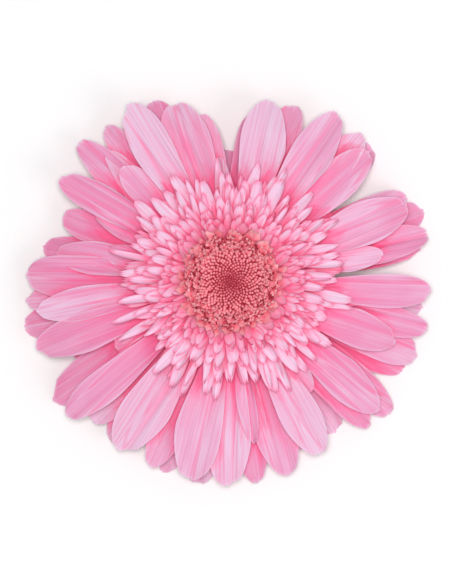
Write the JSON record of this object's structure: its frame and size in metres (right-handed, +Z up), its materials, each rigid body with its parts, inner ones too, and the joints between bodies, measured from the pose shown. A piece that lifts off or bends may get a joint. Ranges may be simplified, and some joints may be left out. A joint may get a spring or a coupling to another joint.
{
  "type": "cut gerbera bloom",
  "caption": "Cut gerbera bloom lying face up: long pink ray florets in layers, shorter inner florets, a coral disc, a green cup of bracts and a short stem stub.",
  "frame": {"origin": "on the surface that the bloom lies on, under the middle of the bloom's outline", "axes": "+Z up out of the bloom's face, +Y towards the top of the bloom as pictured, +X to its right"},
  "size_m": [0.1126, 0.1068, 0.0266],
  "materials": {
    "ray_floret": "soft matt petal, pale pink with fine lengthwise veins, deeper pink at the base",
    "trans_floret": "soft matt petal, pale pink tips and coral pink bases",
    "disc_floret": "matt coral, dark crimson in the middle",
    "bract": "matt green with fine pale down",
    "stem": "satin green, downy, ribbed lengthwise"
  },
  "bodies": {
    "root": {"ray_florets": "ray_floret", "trans_florets": "trans_floret", "disc_florets": "disc_floret", "involucre": "bract", "cut_stem": "stem"}
  },
  "joints": []
}
